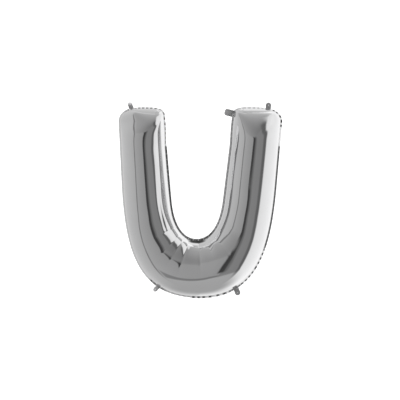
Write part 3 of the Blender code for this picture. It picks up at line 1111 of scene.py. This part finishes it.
def tab_mesh(name, neck, radius, length):
    """A keyhole-shaped tab with a punched hole, as rings between the hole and the outline."""
    centre = np.array([0.0, length - radius])
    start = -math.acos(neck / radius)
    turns = np.linspace(start, math.pi - start, TAB_HEAD_POINTS)
    head = centre + radius * np.column_stack([np.cos(turns), np.sin(turns)])
    line = np.vstack([(neck, -TAB_ROOT), head, (-neck, -TAB_ROOT), (neck, -TAB_ROOT)])
    along = lengths_along(line)
    stops = np.linspace(0.0, along[-1], TAB_RING_POINTS, endpoint=False)
    outline = np.column_stack([np.interp(stops, along, column) for column in line.T])
    outward = outline - centre
    outward /= np.linalg.norm(outward, axis=1)[:, None]
    hole = centre + TAB_HOLE_RADIUS * outward
    shares = np.linspace(0.0, 1.0, TAB_RINGS + 1)[:, None, None]
    rings = hole[None] * (1.0 - shares) + outline[None] * shares
    table = {"local_x": rings[:, :, 0], "local_z": rings[:, :, 1]}
    faces = ring_faces(TAB_RINGS + 1, TAB_RING_POINTS)
    return flat_mesh(name, rings.reshape(-1, 2), faces, table)


def stand_on_edge(obj, x, y, z, lean_degrees):
    """Bakes a tab's or a tail ply's place on the edge into its mesh."""
    turn = Matrix.Rotation(math.radians(lean_degrees), 4, "Y")
    obj.data.transform(Matrix.Translation(Vector((x, y, z))) @ turn)
    obj.data.update()


class BALLOON_OT_hanging_tabs(bpy.types.Operator):
    """Builds the four hanging tabs, each curled and twisted in its own way"""

    bl_idname = "balloon.hanging_tabs"
    bl_label = "Hanging tabs"

    def execute(self, context):
        settings = context.scene.balloon_foil
        tree = tab_tree()
        material = foil("tab film", settings.film_color, *TAB_FINISH)
        thickness = settings.seal_thickness * TAB_THICKNESS_SHARE
        for k, (name, x, z, lean, twist, curl, neck, radius, length) in enumerate(TABS):
            values = {
                "Length": length,
                "Twist": math.radians(twist),
                "Curl": curl,
                "Seed": TAB_SEED_STEP * k,
                "Material": material,
            }
            flat = tab_mesh(name + "_flat", neck, radius, length)
            tab = shaped(name + "_film", flat, tree, values)
            stand_on_edge(tab, x, edge_swing(x, z), z, lean)
            finished(tab, "two plies", thickness, 0.0, name)
        return {"FINISHED"}


def tail_tree():
    """Crumples a ply of the filling tail with sharp slantwise folds, with painted shade in them."""
    sizes = {
        "Length": 0.041, "Fold Depth": 0.0040, "Fold Count": 290.0, "Opening": 0.0, "Seed": 0.0,
    }
    t = Tree("Tail ply", sizes)
    x, z, up, place = standing(t, TAIL_CRUMPLES)
    slanted = (z + x * FOLD_SLANT) * t.value("Fold Count")
    arch = abs((slanted + (x * FOLD_WAVES).sin() * FOLD_WAVE_SIZE).sin())
    rough = (t.noise(place, 1.5, 2.0) - 0.5) * 0.5
    lift = ((arch - 0.6) * 0.7 + rough) * t.value("Fold Depth") * up.at_most(1.0)
    t.move(t.vector(0.0, lift + t.value("Opening") * up * up, 0.0))
    # Painted shade along the valleys of the folds
    t.store("painted_shade", (1.0 - arch.smooth(0.0, 0.5)) * 0.8)
    return t.close()


def tail_mesh(name, width, length):
    """One ply as a grid: straight at the root, its far corners rounded."""
    radius = min(TAIL_CORNER, width * TAIL_CORNER_SHARE)
    z = np.linspace(-TAIL_ROOT, length, TAIL_ROWS + 1)
    over = np.clip((z - (length - radius)) / radius, 0.0, 1.0)
    half = width / 2 - radius * (1.0 - np.sqrt(1.0 - over**2))
    x = half[:, None] * np.linspace(-1.0, 1.0, TAIL_COLUMNS + 1)[None]
    z = np.broadcast_to(z[:, None], x.shape)
    faces = grid_faces(*x.shape)[:, [0, 3, 2, 1]].tolist()
    points = np.column_stack([x.ravel(), z.ravel()])
    return flat_mesh(name, points, faces, {"local_x": x, "local_z": z})


class BALLOON_OT_filling_tail(bpy.types.Operator):
    """Builds the two plies of the filling tail and the flat valve between them"""

    bl_idname = "balloon.filling_tail"
    bl_label = "Filling tail"

    def execute(self, context):
        tree = tail_tree()
        tail_film = foil("tail film", context.scene.balloon_foil.film_color, *TAIL_FINISH)
        valve_film = clear_film("clear valve film", VALVE_COLOR)
        x, z = TAIL_START
        edge_y = edge_swing(x, z)
        for node, width, length, y in TAIL_PLIES:
            is_valve = node == "valve_film"
            values = {
                "Length": length,
                "Opening": TAIL_BEND + PLY_TIP_SHARE * y,
                "Seed": TAIL_SEED,
                "Material": valve_film if is_valve else tail_film,
            }
            ply = shaped(node + "_ply", tail_mesh(node + "_flat", width, length), tree, values)
            stand_on_edge(ply, x, edge_y + y * PLY_ROOT_SHARE, z, TAIL_LEAN)
            finished(ply, "film", TAIL_THICKNESS, 0.0, node)
        return {"FINISHED"}


class BALLOON_PT_sidebar(bpy.types.Panel):
    bl_idname = "BALLOON_PT_sidebar"
    bl_label = "Letter Foil Balloon"
    bl_space_type = "VIEW_3D"
    bl_region_type = "UI"
    bl_category = "Balloon"

    def draw(self, context):
        for group in (context.scene.balloon_foil, context.scene.balloon_studio):
            box = self.layout.box()
            for key in group.__annotations__:
                box.prop(group, key)
        for operator in OPERATORS:
            self.layout.operator(operator.bl_idname)


OPERATORS = (
    BALLOON_OT_camera,
    BALLOON_OT_stage,
    BALLOON_OT_film_panels,
    BALLOON_OT_sealed_edge,
    BALLOON_OT_hanging_tabs,
    BALLOON_OT_filling_tail,
)
CLASSES = (FoilProperties, StudioProperties, *OPERATORS, BALLOON_PT_sidebar)


def register():
    for cls in CLASSES:
        bpy.utils.register_class(cls)
    bpy.types.Scene.balloon_foil = bpy.props.PointerProperty(type=FoilProperties)
    bpy.types.Scene.balloon_studio = bpy.props.PointerProperty(type=StudioProperties)


def unregister():
    del bpy.types.Scene.balloon_studio
    del bpy.types.Scene.balloon_foil
    for cls in reversed(CLASSES):
        bpy.utils.unregister_class(cls)


def main():
    register()
    bpy.ops.balloon.camera()
    bpy.ops.balloon.stage()
    bpy.ops.balloon.film_panels()
    bpy.ops.balloon.sealed_edge()
    bpy.ops.balloon.hanging_tabs()
    bpy.ops.balloon.filling_tail()


if __name__ == "__main__":
    main()
